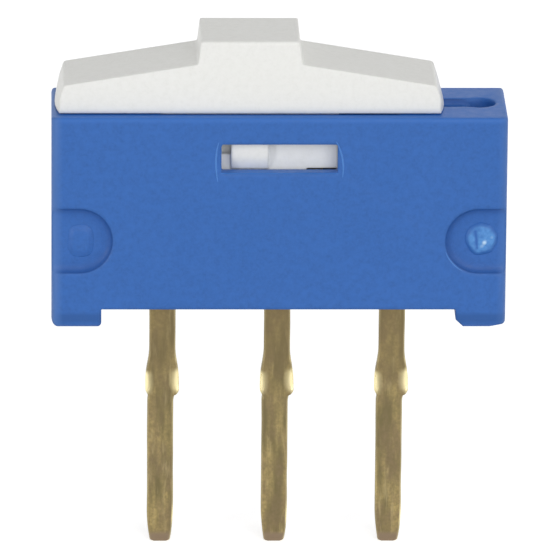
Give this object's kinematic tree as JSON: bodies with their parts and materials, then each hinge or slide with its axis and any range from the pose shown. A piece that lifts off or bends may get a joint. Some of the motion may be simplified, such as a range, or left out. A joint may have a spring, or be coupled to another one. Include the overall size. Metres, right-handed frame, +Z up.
{
  "type": "slide switch",
  "caption": "Small through-hole slide switch: moulded housing on stand-off feet, roof-shaped slider with a square knob, and a row of flat gold-plated pins.",
  "frame": {"origin": "middle of the board face that the feet stand on, on the line of the pins", "axes": "+X along the slider's travel towards the right pin, +Y from the windowed front towards the back, +Z up from the board towards the knob"},
  "size_m": [0.01, 0.0024, 0.0119],
  "materials": {
    "housing_plastic": "satin blue moulded plastic",
    "slider_plastic": "satin white moulded plastic",
    "contact_spring": "gold-plated spring strip",
    "base_plastic": "dark moulded plastic",
    "resin": "poured amber resin",
    "terminal_plating": "gold-plated copper alloy strip"
  },
  "bodies": {
    "body": {"housing": "housing_plastic", "terminal_base": "base_plastic", "sealing_resin": "resin", "terminal_left": "terminal_plating", "terminal_common": "terminal_plating", "terminal_right": "terminal_plating"},
    "slide": {"slider": "slider_plastic", "moving_contact": "contact_spring"}
  },
  "joints": [
    {"name": "slider_travel", "type": "slide", "parent": "body", "child": "slide", "axis": [1, 0, 0], "range_m": [0, 0.0013]}
  ]
}
